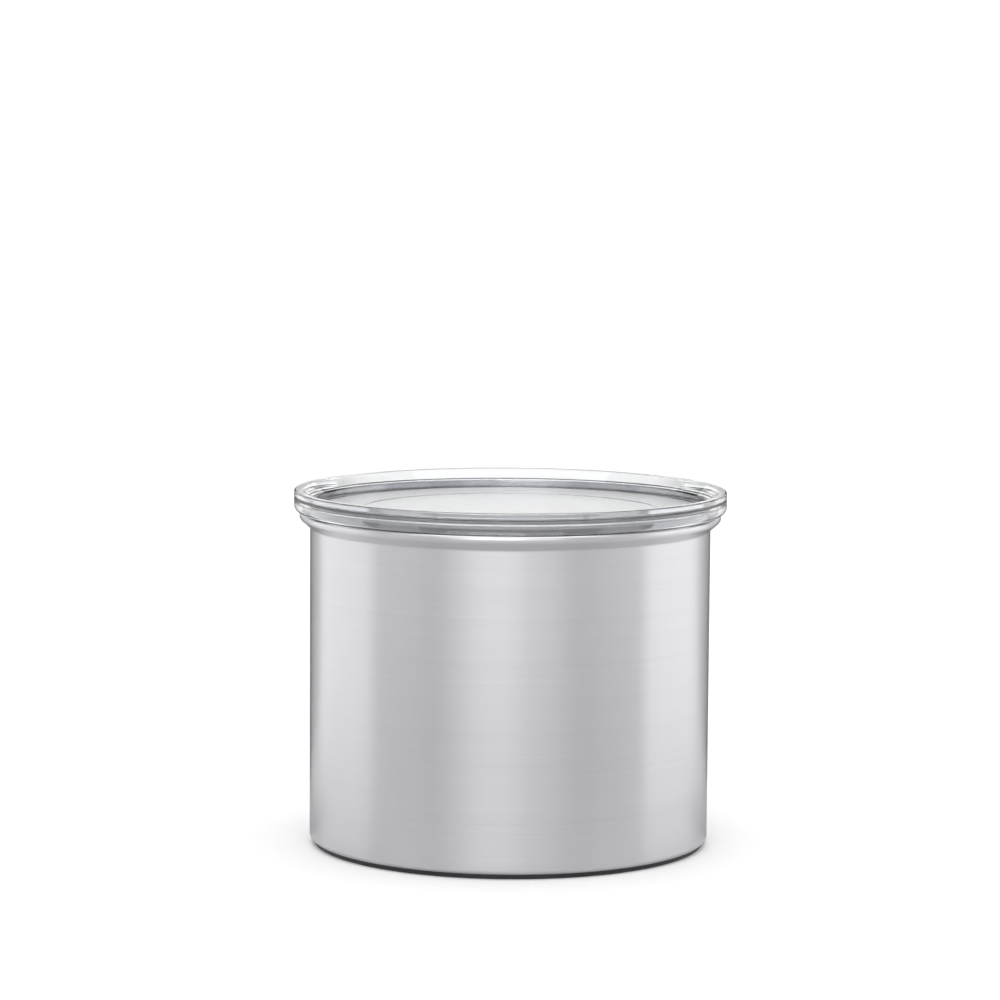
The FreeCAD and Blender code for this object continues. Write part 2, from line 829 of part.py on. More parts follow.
def check(bodies):
    """Stops if any feature failed, cut nothing or left a bad solid."""
    for thing in doc.Objects:
        if "Invalid" in thing.State or "Error" in thing.State:
            raise RuntimeError(f"{thing.Name} failed: {thing.State}")
        if thing.TypeId == "Sketcher::SketchObject" and thing.solve() != 0:
            raise RuntimeError(f"{thing.Name} is not solved")
        if thing.TypeId == "PartDesign::Pocket":
            if thing.Shape.Volume > thing.BaseFeature.Shape.Volume - 1e-3:
                raise RuntimeError(f"{thing.Name} cuts nothing")
    for body in bodies:
        if body.Shape.isNull() or not body.Shape.isValid() or not body.Shape.Solids:
            raise RuntimeError(f"{body.Label} has no valid solid")


make_steel_body()
make_base_ring()
make_clear_lid()
make_plunger_plate()
make_lower_plate()
make_wiper_seal()
make_screws(
    "plate_screws",
    d.plate_screw_circle,
    d.plate_screw_count,
    d.plate_screw_radius,
    d.plate_screw_tip + d.fit_gap,
    floor_top,
    d.plate_screw_head,
    d.plate_screw_head_height,
)
make_valve_body()
make_valve_gasket()
make_screws(
    "valve_screws",
    d.valve_screw_circle,
    d.valve_screw_count,
    d.valve_screw_radius,
    floor_bottom - d.valve_screw_depth + d.fit_gap,
    flange_top,
    d.valve_screw_head,
    d.valve_screw_head_height,
)
make_valve_stem()
make_valve_disc()
make_valve_spring()
make_valve_button()
make_handle()
make_hinge_pin()
make_pin_clips()

doc.recompute()
bodies = [thing for thing in doc.Objects if thing.TypeId == "PartDesign::Body"]
check(bodies)
os.makedirs("parts", exist_ok=True)
for body in bodies:
    body.Shape.exportStep(f"parts/{body.Label}.step")
    print(f"{body.Label}: {len(body.Shape.Solids)} solid(s), {body.Shape.Volume / 1000:.2f} cm3")
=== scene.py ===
"""Dresses the packed coffee canister: steel can, clear lid, inner lid with its valve, finishes and stage."""
import math
from typing import NamedTuple

import bmesh
import bpy
from bpy.props import FloatProperty, FloatVectorProperty, IntProperty, PointerProperty
from mathutils import Matrix, Vector


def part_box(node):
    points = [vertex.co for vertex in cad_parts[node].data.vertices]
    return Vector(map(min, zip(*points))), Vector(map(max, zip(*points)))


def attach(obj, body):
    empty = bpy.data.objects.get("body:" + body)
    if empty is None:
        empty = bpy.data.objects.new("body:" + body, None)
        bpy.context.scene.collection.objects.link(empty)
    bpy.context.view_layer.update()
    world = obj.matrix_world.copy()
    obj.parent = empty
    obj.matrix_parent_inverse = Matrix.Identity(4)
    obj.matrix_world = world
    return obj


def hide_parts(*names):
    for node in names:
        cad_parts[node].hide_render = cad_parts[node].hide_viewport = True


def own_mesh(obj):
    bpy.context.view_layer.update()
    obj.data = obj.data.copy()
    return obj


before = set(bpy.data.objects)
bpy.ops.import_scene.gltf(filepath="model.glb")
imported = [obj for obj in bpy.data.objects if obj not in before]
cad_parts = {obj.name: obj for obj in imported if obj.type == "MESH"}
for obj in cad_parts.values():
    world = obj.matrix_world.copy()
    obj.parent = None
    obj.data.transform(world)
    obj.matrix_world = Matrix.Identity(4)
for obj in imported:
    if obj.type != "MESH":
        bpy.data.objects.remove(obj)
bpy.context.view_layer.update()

bl_info = {
    "name": "Coffee canister",
    "version": (1, 0, 0),
    "blender": (4, 5, 0),
    "location": "View3D > Sidebar > Canister",
    "description": "Builds the looks of a steel coffee canister with an inner lid and an air valve",
    "category": "Object",
}

MM = 0.001
AXIS = Vector((0, 0, 1))
FINISH_TAIL = "_finish"
CAN_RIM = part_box("steel_body")[1].z
LID_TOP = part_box("clear_lid")[1].z
INNER_LID_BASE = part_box("lower_plate")[0].z
POLISH_START = CAN_RIM - 3.4 * MM
POLISH_END = CAN_RIM - 2.8 * MM
SATIN_RADIUS = 55.0 * MM
GLOSS_RADIUS = 57.5 * MM


def length(name, description, default):
    return FloatProperty(
        name=name, description=description, default=default, min=0, unit="LENGTH", precision=5
    )


def colour(name, description, default):
    return FloatVectorProperty(
        name=name, description=description, default=default, size=3, min=0, max=1, subtype="COLOR"
    )


class CanSizes(bpy.types.PropertyGroup):
    """Sizes of the steel can and the ring under it."""

    wall_radius: length("Wall radius", "Outside radius of the straight wall", 58.8 * MM)
    sheet: length("Sheet", "Thickness of the steel", 0.7 * MM)
    rim_height: length("Rim height", "Top of the hem above the table", CAN_RIM)
    base_corner: length("Base corner", "Outside radius of the base corner", 1.4 * MM)
    panel_rise: length("Base panel rise", "How far the middle of the base is raised", 1.2 * MM)
    panel_slope: length("Base panel slope", "Width of the slope round the raised middle", 2.0 * MM)
    bead_reach: length("Bead reach", "How far the bead stands out of the wall", 3.1 * MM)
    bead_height: length("Bead height", "From the foot of the bead to its top", 4.4 * MM)
    bead_drop: length("Bead drop", "From the rim down to the top of the bead", 3.0 * MM)
    flare_angle: FloatProperty(
        name="Flare angle", description="Slope under the bead", default=math.radians(40), subtype="ANGLE"
    )
    mouth_step: length("Mouth step", "How much wider the mouth is than the inside of the wall", 1.4 * MM)
    hem_height: length("Hem height", "Height of the folded edge", 1.8 * MM)
    foot_height: length("Foot height", "Thickness of the ring under the base", 1.3 * MM)
    foot_outer: length("Foot radius", "Outside radius of the ring", 57.4 * MM)
    foot_inner: length("Foot hole", "Inside radius of the ring", 49.4 * MM)
    foot_margin: length("Foot margin", "From the ring's hole to the slope of the base panel", 1.2 * MM)


class LidSizes(bpy.types.PropertyGroup):
    """Sizes of the clear lid."""

    top: length("Top", "Top of the lip above the table", LID_TOP)
    radius: length("Radius", "Outside radius of the skirt", 63.5 * MM)
    recess: length("Recess", "Depth of the panel below the lip", 5.8 * MM)
    panel: length("Panel", "Thickness of the panel", 1.8 * MM)
    disc: length("Disc", "Radius of the panel's sunk middle", 44.0 * MM)
    step: length("Step", "Depth of the sunk middle", 0.25 * MM)
    recess_inset: length("Recess inset", "From the outside to the foot of the recess's wall", 5.7 * MM)
    recess_draft: length("Recess draft", "How far the recess's wall leans out", 0.2 * MM)
    flare_drop: length("Flare drop", "From the lip down to where the recess starts to flare", 3.6 * MM)
    lip_flat: length("Lip", "Width of the flat lip", 2.2 * MM)
    lip_round: length("Lip edge", "Rounding of the lip's inner edge", 1.2 * MM)
    skirt_wall: length("Skirt wall", "Thickness of the skirt", 2.3 * MM)
    skirt_drop: length("Skirt drop", "From the lip down to the skirt's lower edge", 6.3 * MM)
    skirt_round: length("Skirt edge", "Rounding of the skirt's lower edge", 1.8 * MM)
    stop_drop: length("Stop drop", "From the lip down to the stop over the hem", 3.55 * MM)
    stop_width: length("Stop width", "Width of the stop", 1.0 * MM)
    groove_drop: length("Groove drop", "From the lip down to the roof of the groove", 3.4 * MM)
    groove_width: length("Groove width", "Width of the groove beside the stop", 1.0 * MM)


class ValveSizes(bpy.types.PropertyGroup):
    """Sizes of the inner lid's turned pieces."""

    base: length("Base", "Underside of the inner lid above the table", INNER_LID_BASE)
    spring_radius: length("Spring radius", "Radius of the coil's middle line", 4.9 * MM)
    spring_wire: length("Spring wire", "Radius of the wire", 0.3 * MM)
    spring_turns: IntProperty(name="Spring turns", description="Turns of the coil", default=4, min=1)
    spring_foot: length("Spring foot", "Foot of the spring above the underside", 8.6 * MM)
    spring_height: length("Spring height", "Height of the spring with the valve shut", 5.6 * MM)
    travel: length("Valve travel", "How far the valve opens", 2.0 * MM)
    pin_height: length("Pin height", "Middle of the handle's pin above the underside", 19.95 * MM)
    pin_half: length("Pin half length", "From the middle of the pin to its end", 25.2 * MM)
    pin_radius: length("Pin radius", "Radius of the handle's pin", 1.5 * MM)
    clip_radius: length("Clip radius", "Outside radius of the pin's clips", 3.2 * MM)
    clip_place: length("Clip place", "From the middle of the pin to a clip's inner face", 23.55 * MM)
    clip_width: length("Clip width", "Thickness of a clip", 1.2 * MM)


class Finishes(bpy.types.PropertyGroup):
    """Colours of the finishes."""

    steel: colour("Steel", "Brushed steel of the can", (0.62, 0.62, 0.645))
    # Painted shade: a darker copy of the steel for the hem's outside, standing in for the shade under the
    # lid's skirt
    painted_shade_hem_steel: colour("Hem steel", "Outside of the hem, dark behind the lid's skirt", (0.3, 0.3, 0.312))
    bright_steel: colour("Bright steel", "Pin, clips, screws and spring", (0.72, 0.72, 0.74))
    plate: colour("Plate", "Moulded plates of the inner lid", (0.4, 0.4, 0.41))
    handle: colour("Handle", "Folding handle", (0.045, 0.045, 0.05))
    white: colour("White", "Valve stem and button", (0.75, 0.75, 0.73))
    grey_silicone: colour("Grey silicone", "Seals of the inner lid", (0.13, 0.13, 0.135))
    black_silicone: colour("Black silicone", "Ring under the base", (0.018, 0.018, 0.022))
    clear: colour("Clear plastic", "Slip-on lid", (0.97, 0.98, 0.99))


class StageSettings(bpy.types.PropertyGroup):
    """Camera and light."""

    camera_distance: length("Camera distance", "From the can's axis to the camera", 1.1636)
    camera_height: length("Camera height", "Camera above the table", 0.2304)
    camera_aside: FloatProperty(
        name="Camera aside", description="Camera to the right of the axis", default=-0.00307, unit="LENGTH"
    )
    camera_pitch: FloatProperty(
        name="Camera pitch", description="How far the camera looks down", default=0.1104, subtype="ANGLE"
    )
    camera_roll: FloatProperty(
        name="Camera roll", description="Turn of the camera about its view", default=0.007, subtype="ANGLE"
    )
    lens: FloatProperty(name="Lens", description="Focal length", default=143.4, unit="CAMERA")
    sky: FloatProperty(name="Sky", description="Strength of the even light all round", default=0.56, min=0)
    paper: colour("Paper", "Floor and backdrop", (0.93, 0.93, 0.93))


def wire_through(bm, corners):
    """Wire through corners of radius, height and rounding in XZ, closed unless it starts on the axis."""
    verts = [bm.verts.new((radius, 0, height)) for radius, height, *_ in corners]
    ends = verts[1:] + verts[:1]
    if corners[0][0] == 0:
        ends.pop()
    for start, end in zip(verts, ends):
        bm.edges.new((start, end))
    for vert, (_, _, *rounding) in zip(verts, corners):
        if not rounding:
            continue
        back, ahead = (edge.other_vert(vert).co - vert.co for edge in vert.link_edges)
        half = back.angle(ahead) / 2
        steps = min(12, 4 + int(rounding[0] / MM * 1.5))
        bmesh.ops.bevel(
            bm,
            geom=[vert],
            offset=rounding[0] / math.tan(half),
            offset_type="OFFSET",
            affect="VERTICES",
            segments=steps,
            profile=0.5,
            material=-1,
            clamp_overlap=False,
        )


def spin_full(bm, steps):
    """Turns all that is in the mesh once round Z and closes it."""
    bmesh.ops.spin(
        bm,
        geom=list(bm.verts) + list(bm.edges),
        cent=(0, 0, 0),
        axis=AXIS,
        dvec=(0, 0, 0),
        angle=math.tau,
        steps=steps,
        use_merge=True,
        use_duplicate=False,
    )
    bmesh.ops.remove_doubles(bm, verts=bm.verts, dist=1e-7)
    bmesh.ops.recalc_face_normals(bm, faces=bm.faces)


def turned(corners, steps=256):
    bm = bmesh.new()
    wire_through(bm, corners)
    spin_full(bm, steps)
    return bm


def shifted(corners, lift):
    """The corners of an outline, raised by lift."""
    return [(radius, height + lift, *rounding) for radius, height, *rounding in corners]


def millimetres(corners, lift=0.0):
    return shifted([tuple(MM * value for value in corner) for corner in corners], lift)


class Finish:
    """One procedural material on Object coordinates."""

    def __init__(self, name, **constants):
        self.material = bpy.data.materials.new(name + FINISH_TAIL)
        self.material.use_nodes = True
        self.nodes = self.material.node_tree.nodes
        self.links = self.material.node_tree.links
        self.shader = self.nodes["Principled BSDF"]
        for socket, value in constants.items():
            self.shader.inputs[socket.replace("_", " ").title().replace("Ior", "IOR")].default_value = value
        self.place = self.nodes.new("ShaderNodeTexCoord").outputs["Object"]

    def noise(self, stretch, detail=3.0, roughness=0.55):
        """Noise with so many patterns per metre along each axis."""
        mapping = self.nodes.new("ShaderNodeMapping")
        mapping.inputs["Scale"].default_value = stretch
        self.links.new(self.place, mapping.inputs["Vector"])
        noise = self.nodes.new("ShaderNodeTexNoise")
        noise.inputs["Scale"].default_value = 1.0
        noise.inputs["Detail"].default_value = detail
        noise.inputs["Roughness"].default_value = roughness
        self.links.new(mapping.outputs["Vector"], noise.inputs["Vector"])
        return noise.outputs["Fac"]

    def blend(self, first, second, share):
        """A mix of two patterns."""
        mix = self.nodes.new("ShaderNodeMix")
        mix.inputs["Factor"].default_value = share
        self.links.new(first, mix.inputs["A"])
        self.links.new(second, mix.inputs["B"])
        return mix.outputs["Result"]

    def tint(self, pattern, base, spread):
        """Base colour that swings by spread round the base with the pattern."""
        ramp = self.nodes.new("ShaderNodeValToRGB")
        for stop, place, factor in zip(ramp.color_ramp.elements, (0.3, 0.7), (1 - spread, 1 + spread)):
            stop.position = place
            stop.color = (*(min(1.0, channel * factor) for channel in base), 1)
        self.links.new(pattern, ramp.inputs["Fac"])
        self.links.new(ramp.outputs["Color"], self.shader.inputs["Base Color"])

    def carried(self, value, start, end, low, high):
        """A value carried from the range start to end over to the range low to high."""
        span = self.nodes.new("ShaderNodeMapRange")
        for socket, limit in zip(("From Min", "From Max", "To Min", "To Max"), (start, end, low, high)):
            span.inputs[socket].default_value = limit
        self.links.new(value, span.inputs["Value"])
        return span.outputs["Result"]

    def distance(self, mask):
        """Distance from the origin, measured along the axes that the mask leaves."""
        flat = self.nodes.new("ShaderNodeVectorMath")
        flat.operation = "MULTIPLY"
        flat.inputs[1].default_value = mask
        self.links.new(self.place, flat.inputs[0])
        reach = self.nodes.new("ShaderNodeVectorMath")
        reach.operation = "LENGTH"
        self.links.new(flat.outputs["Vector"], reach.inputs[0])
        return reach.outputs["Value"]

    def product(self, first, second):
        times = self.nodes.new("ShaderNodeMath")
        times.operation = "MULTIPLY"
        self.links.new(first, times.inputs[0])
        self.links.new(second, times.inputs[1])
        return times.outputs["Value"]

    def roughen(self, value):
        self.links.new(value, self.shader.inputs["Roughness"])

    def gloss(self, pattern, low, high):
        """Roughness between low and high with the pattern."""
        self.roughen(self.carried(pattern, 0.3, 0.7, low, high))

    def relief(self, pattern, height, strength):
        """Bump of that height in metres."""
        bump = self.nodes.new("ShaderNodeBump")
        bump.inputs["Strength"].default_value = strength
        bump.inputs["Distance"].default_value = height
        self.links.new(pattern, bump.inputs["Height"])
        self.links.new(bump.outputs["Normal"], self.shader.inputs["Normal"])


def brushed_steel(name, base):
    """Satin steel with fine lines round the girth and a polished rim."""
    finish = Finish(name, Metallic=1.0, Anisotropic=0.85, Anisotropic_Rotation=0.25)
    fine = finish.noise((9, 9, 2600), 4.0, 0.6)
    broad = finish.noise((5, 5, 420), 2.0)
    lines = finish.blend(fine, broad, 0.35)
    finish.tint(lines, base, 0.035)
    rim = finish.carried(finish.distance((0, 0, 1)), POLISH_START, POLISH_END, 1.0, 0.4)
    finish.roughen(finish.product(finish.carried(lines, 0.3, 0.7, 0.28, 0.38), rim))
    finish.relief(fine, 0.00001, 0.2)
    tangent = finish.nodes.new("ShaderNodeTangent")
    tangent.direction_type = "RADIAL"
    tangent.axis = "Z"
    finish.links.new(tangent.outputs["Tangent"], finish.shader.inputs["Tangent"])
    return finish.material


def bright_steel(colours):
    """Drawn steel with faint marks."""
    finish = Finish("bright_steel", Metallic=1.0)
    marks = finish.noise((900, 900, 900), 3.0)
    finish.tint(marks, colours.bright_steel, 0.06)
    finish.gloss(marks, 0.16, 0.28)
    return finish.material


def clear_plastic(name, base, sheen, clearness):
    """Clear moulded plastic, satin inside the recess, with a sheen and a share that light goes through."""
    finish = Finish(
        name,
        Base_Color=(*base, 1),
        Transmission_Weight=clearness,
        IOR=1.49,
        Sheen_Weight=sheen,
        Sheen_Roughness=0.3,
    )
    finish.roughen(finish.carried(finish.distance((1, 1, 0)), SATIN_RADIUS, GLOSS_RADIUS, 0.2, 0.015))
    return finish.material


def moulded_plastic(name, base, rough, grain_height):
    """Matt moulded plastic with a fine grain."""
    finish = Finish(name, Specular_IOR_Level=0.45)
    grain = finish.noise((2400, 2400, 2400), 2.0)
    cloud = finish.noise((45, 45, 45), 3.0)
    finish.tint(cloud, base, 0.12)
    finish.gloss(finish.blend(grain, cloud, 0.4), rough - 0.06, rough + 0.06)
    finish.relief(grain, grain_height, 0.5)
    return finish.material


def silicone(name, base):
    """Matt silicone with a soft bloom."""
    finish = Finish(name, Sheen_Weight=0.12, Sheen_Roughness=0.5)
    bloom = finish.noise((90, 90, 90), 4.0)
    finish.tint(bloom, base, 0.15)
    finish.gloss(bloom, 0.52, 0.66)
    finish.relief(finish.noise((1500, 1500, 1500), 2.0), 0.00001, 0.4)
    return finish.material


FINISH_MAKERS = {
    "brushed_steel": lambda colours: brushed_steel("brushed_steel", colours.steel),
    # Painted shade: the same brushed steel made darker, for the hem under the lid's skirt
    "painted_shade_hem_steel": lambda colours: brushed_steel("painted_shade_hem_steel", colours.painted_shade_hem_steel),
    "bright_steel": bright_steel,
    "clear_plastic": lambda colours: clear_plastic("clear_plastic", colours.clear, 0.0, 1.0),
    "satin_panel": lambda colours: clear_plastic("satin_panel", colours.clear, 0.75, 0.78),
    "grey_plastic": lambda colours: moulded_plastic("grey_plastic", colours.plate, 0.5, 0.00003),
    "handle_plastic": lambda colours: moulded_plastic("handle_plastic", colours.handle, 0.38, 0.000015),
    "white_plastic": lambda colours: moulded_plastic("white_plastic", colours.white, 0.3, 0.000008),
    "grey_silicone": lambda colours: silicone("grey_silicone", colours.grey_silicone),
    "black_silicone": lambda colours: silicone("black_silicone", colours.black_silicone),
}


def finish_of(slot):
    """The material of a slot, made once."""
    made = bpy.data.materials.get(slot + FINISH_TAIL)
    return made or FINISH_MAKERS[slot](bpy.context.scene.canister_finishes)


def settle(bm, name, body, slot, *nodes):
    """Makes the mesh a piece with even normals that rides on a body and stands for CAD nodes."""
    mesh = bpy.data.meshes.new(name)
    bm.to_mesh(mesh)
    bm.free()
    mesh.materials.append(finish_of(slot))
    mesh.shade_smooth()
    mesh.set_sharp_from_angle(angle=math.radians(32))
    piece = bpy.data.objects.new(name, mesh)
    bpy.context.scene.collection.objects.link(piece)
    evened = piece.modifiers.new("Even normals", "WEIGHTED_NORMAL")
    evened.keep_sharp = True
    seen = piece.evaluated_get(bpy.context.evaluated_depsgraph_get())
    piece.data = bpy.data.meshes.new_from_object(seen)
    piece.modifiers.clear()
    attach(piece, body)
    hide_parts(*nodes)
    return piece


def coat_faces(piece, slot, chosen):
    """Gives the faces that a test picks a second finish."""
    piece.data.materials.append(finish_of(slot))
    for face in piece.data.polygons:
        if chosen(face):
            face.material_index = 1


def merged_copy(node):
    """A copy of a CAD node's triangles with their corners joined."""
    bm = bmesh.new()
    bm.from_mesh(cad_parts[node].data)
    bmesh.ops.remove_doubles(bm, verts=bm.verts, dist=1e-6)
    return bm


class CANISTER_OT_steel_can(bpy.types.Operator):
    """Turn the drawn can: raised base panel, tight corner, bead and hemmed rim"""

    bl_idname = "canister.steel_can"
    bl_label = "Steel can"

    def execute(self, context):
        can = context.scene.canister_can
        sheet = can.sheet
        inner = can.wall_radius - sheet
        mouth = inner + can.mouth_step
        collar = mouth + sheet
        hem = collar + sheet
        bead = can.wall_radius + can.bead_reach
        bead_top = can.rim_height - can.bead_drop
        bead_root = bead_top - can.bead_height
        flare = can.flare_angle
        knee = bead_root + can.bead_reach * math.tan(flare)
        lift = sheet / math.cos(flare) - sheet * math.tan(flare)
        panel = can.foot_height + can.panel_rise
        panel_outer = can.foot_inner - can.foot_margin
        panel_inner = panel_outer - can.panel_slope
        hem_bottom = can.rim_height - can.hem_height
        corners = [
            (0, panel),
            (panel_inner, panel, 3.0 * MM),
            (panel_outer, can.foot_height, 1.0 * MM),
            (can.wall_radius, can.foot_height, can.base_corner),
            (can.wall_radius, bead_root, 0.8 * MM),
            (bead, knee, 1.5 * MM),
            (bead, bead_top, 1.0 * MM),
            (collar, bead_top, 0.4 * MM),
            (collar, hem_bottom),
            (hem, hem_bottom, 0.3 * MM),
            (hem, can.rim_height, 0.12 * MM),
            (mouth, can.rim_height, 0.3 * MM),
            (mouth, bead_top - sheet, 1.1 * MM),
            (bead - sheet, bead_top - sheet, 0.3 * MM),
            (bead - sheet, knee + lift, 0.8 * MM),
            (inner, bead_root + lift, 1.5 * MM),
            (inner, can.foot_height + sheet, can.base_corner - sheet),
            (panel_outer, can.foot_height + sheet, 1.0 * MM),
            (panel_inner, panel + sheet, 3.0 * MM),
            (0, panel + sheet),
        ]
        shell = settle(turned(corners), "can_shell", "canister", "brushed_steel", "steel_body")

        # Painted shade: the hem's outside above the bead gets the darker steel
        def hem_in_painted_shade(face):
            middle = face.center
            above_bead = middle.z > bead_top + 0.4 * MM
            return face.normal.z < 0.3 and above_bead and middle.xy.length > collar - 0.1 * MM

        coat_faces(shell, "painted_shade_hem_steel", hem_in_painted_shade)
        return {"FINISHED"}


class CANISTER_OT_foot_ring(bpy.types.Operator):
    """Turn the black ring that the can stands on"""

    bl_idname = "canister.foot_ring"
    bl_label = "Foot ring"

    def execute(self, context):
        can = context.scene.canister_can
        corners = [
            (can.foot_inner, 0, 0.3 * MM),
            (can.foot_outer, 0, 0.3 * MM),
            (can.foot_outer, can.foot_height),
            (can.foot_inner, can.foot_height),
        ]
        settle(turned(corners), "foot_ring", "canister", "black_silicone", "base_ring")
        return {"FINISHED"}


class CANISTER_OT_clear_lid(bpy.types.Operator):
    """Turn the clear lid: recessed panel, flared recess, flat lip and skirt"""

    bl_idname = "canister.clear_lid"
    bl_label = "Clear lid"

    def execute(self, context):
        lid = context.scene.canister_lid
        panel = lid.top - lid.recess
        under = panel - lid.panel
        skirt_inner = lid.radius - lid.skirt_wall
        skirt_bottom = lid.top - lid.skirt_drop
        stop = lid.top - lid.stop_drop
        roof = lid.top - lid.groove_drop
        collar = skirt_inner - lid.stop_width
        plug = collar - lid.groove_width
        recess = lid.radius - lid.recess_inset
        corners = [
            (0, panel - lid.step),
            (lid.disc, panel - lid.step, 0.3 * MM),
            (lid.disc + lid.step, panel, 0.3 * MM),
            (recess, panel, 0.8 * MM),
            (recess + lid.recess_draft, lid.top - lid.flare_drop, 0.8 * MM),
            (lid.radius - lid.lip_flat, lid.top, lid.lip_round),
            (lid.radius, lid.top, 0.5 * MM),
            (lid.radius, skirt_bottom, lid.skirt_round),
            (skirt_inner, skirt_bottom),
            (skirt_inner, stop, 0.2 * MM),
            (collar, stop),
            (collar, roof),
            (plug, roof, 0.4 * MM),
            (plug, under, 0.6 * MM),
            (lid.disc + lid.step, under, 0.3 * MM),
            (lid.disc, under - lid.step, 0.3 * MM),
            (0, under - lid.step),
        ]
        shell = settle(turned(corners), "lid_shell", "lid", "clear_plastic", "clear_lid")
        shell.visible_shadow = False

        def top_of_panel(face):
            middle = face.center
            return face.normal.z > 0.5 and middle.z < panel + 0.2 * MM and middle.xy.length < recess

        coat_faces(shell, "satin_panel", top_of_panel)
        return {"FINISHED"}


class CANISTER_OT_inner_lid(bpy.types.Operator):
    """Smooth the moulded plates of the inner lid and the valve's turret"""

    bl_idname = "canister.inner_lid"
    bl_label = "Inner lid"

    def execute(self, context):
        moulded = {
            "plunger_plate": ("inner_lid_dish", "grey_plastic"),
            "lower_plate": ("inner_lid_underside", "grey_plastic"),
            "valve_body": ("valve_turret", "grey_plastic"),
            "valve_gasket": ("turret_gasket", "grey_silicone"),
        }
        for node, (name, slot) in moulded.items():
            settle(merged_copy(node), name, "plunger", slot, node)
        return {"FINISHED"}


class CANISTER_OT_wiper(bpy.types.Operator):
    """Turn the two-lip seal of the inner lid"""

    bl_idname = "canister.wiper"
    bl_label = "Wiper seal"

    def execute(self, context):
        corners = millimetres(
            [
                (54.15, 2.05),
                (56.7, 2.05, 0.25),
                (57.4, 0.5),
                (57.85, 0.5),
                (57.1, 2.9, 0.4),
                (56.3, 3.6, 0.4),
                (56.3, 6.4, 0.4),
                (57.1, 7.1, 0.4),
                (57.85, 9.5),
                (57.4, 9.5),
                (56.7, 7.95, 0.25),
                (54.15, 7.95),
            ],
            context.scene.canister_valve.base,
        )
        settle(turned(corners), "wiper_lips", "plunger", "grey_silicone", "wiper_seal")
        return {"FINISHED"}


class ScrewKind(NamedTuple):
    """Screws of one kind: sizes in millimetres, heights from the underside of the inner lid."""

    name: str
    node: str
    count: int
    circle: float
    radius: float
    tip: float
    seat: float
    head: float
    tall: float


PLATE_SCREW = ScrewKind(
    name="plate_screw_set",
    node="plate_screws",
    count=6,
    circle=36.0,
    radius=1.25,
    tip=1.05,
    seat=9.4,
    head=2.7,
    tall=1.8,
)
TURRET_SCREW = ScrewKind(
    name="turret_screw_set",
    node="valve_screws",
    count=3,
    circle=13.6,
    radius=1.0,
    tip=4.05,
    seat=11.8,
    head=1.9,
    tall=1.2,
)


class CANISTER_OT_screws(bpy.types.Operator):
    """Make the pan-head screws of the plates and of the turret, each with a cross recess"""

    bl_idname = "canister.screws"
    bl_label = "Screws"

    def recess(self, bm, top, reach, half):
        """Sinks a cross into the flat top of a head."""
        for axis in (Vector((1, 0, 0)), Vector((0, 1, 0))):
            for offset in (-reach, -half, half, reach):
                bmesh.ops.bisect_plane(
                    bm,
                    geom=list(bm.verts) + list(bm.edges) + list(bm.faces),
                    plane_co=axis * offset,
                    plane_no=axis,
                    dist=1e-7,
                )
        cross = []
        for face in bm.faces:
            middle = face.calc_center_median()
            near, far = sorted((abs(middle.x), abs(middle.y)))
            if face.normal.z > 0.99 and middle.z > top - 1e-5 and near < half and far < reach:
                cross.append(face)
        sunk = bmesh.ops.extrude_face_region(bm, geom=cross)["geom"]
        bmesh.ops.delete(bm, geom=cross, context="FACES_ONLY")
        down = [item for item in sunk if isinstance(item, bmesh.types.BMVert)]
        bmesh.ops.translate(bm, verts=down, vec=(0, 0, -reach * 0.7))
        bmesh.ops.scale(bm, verts=down, vec=(0.75, 0.75, 1))

    def one_screw(self, kind, base):
        """One screw on the axis."""
        radius, head = kind.radius, kind.head
        top = kind.seat + kind.tall
        corners = [
            (0, kind.tip),
            (radius * 0.5, kind.tip),
            (radius, kind.tip + radius),
            (radius, kind.seat),
            (head, kind.seat, 0.15),
            (head, kind.seat + kind.tall * 0.6, 0.5),
            (head * 0.72, top, 0.5),
            (0, top),
        ]
        screw = turned(millimetres(corners, base), 48)
        self.recess(screw, base + top * MM, head * 0.5 * MM, head * 0.13 * MM)
        return screw

    def execute(self, context):
        base = context.scene.canister_valve.base
        for kind in (PLATE_SCREW, TURRET_SCREW):
            screw = self.one_screw(kind, base)
            bmesh.ops.translate(screw, verts=screw.verts, vec=(0, kind.circle * MM, 0))
            pattern = bpy.data.meshes.new(kind.name + "_one")
            screw.to_mesh(pattern)
            screw.free()
            whole = bmesh.new()
            for index in range(kind.count):
                turn = Matrix.Rotation(math.tau * index / kind.count, 4, "Z")
                pattern.transform(turn)
                whole.from_mesh(pattern)
                pattern.transform(turn.inverted())
            bpy.data.meshes.remove(pattern)
            settle(whole, kind.name, "plunger", "bright_steel", kind.node)
        return {"FINISHED"}


class CANISTER_OT_valve(bpy.types.Operator):
    """Turn the valve's stem, disc and button"""

    bl_idname = "canister.valve"
    bl_label = "Valve"

    def execute(self, context):
        base = context.scene.canister_valve.base
        outlines = {
            "valve_stem": (
                "stem_rod",
                "white_plastic",
                [(0, 4.35), (8, 4.35, 0.25), (8, 5.35, 0.25), (2, 5.35), (2, 15.0), (0, 15.0)],
            ),
            "valve_disc": (
                "seat_disc",
                "grey_silicone",
                [(2.05, 5.35), (10.2, 5.35, 0.3), (10.2, 6.55, 0.3), (2.05, 6.55)],
            ),
            "valve_button": (
                "push_button",
                "white_plastic",
                [
                    (0, 15.0),
                    (2.05, 15.0),
                    (2.05, 13.0),
                    (3.5, 13.0),
                    (3.5, 14.2),
                    (6.65, 14.2),
                    (6.65, 11.4),
                    (8.05, 11.4),
                    (8.05, 15.6, 0.5),
                    (0, 15.6),
                ],
            ),
        }
        for node, (name, slot, corners) in outlines.items():
            settle(turned(millimetres(corners, base), 128), name, "valve", slot, node)
        return {"FINISHED"}


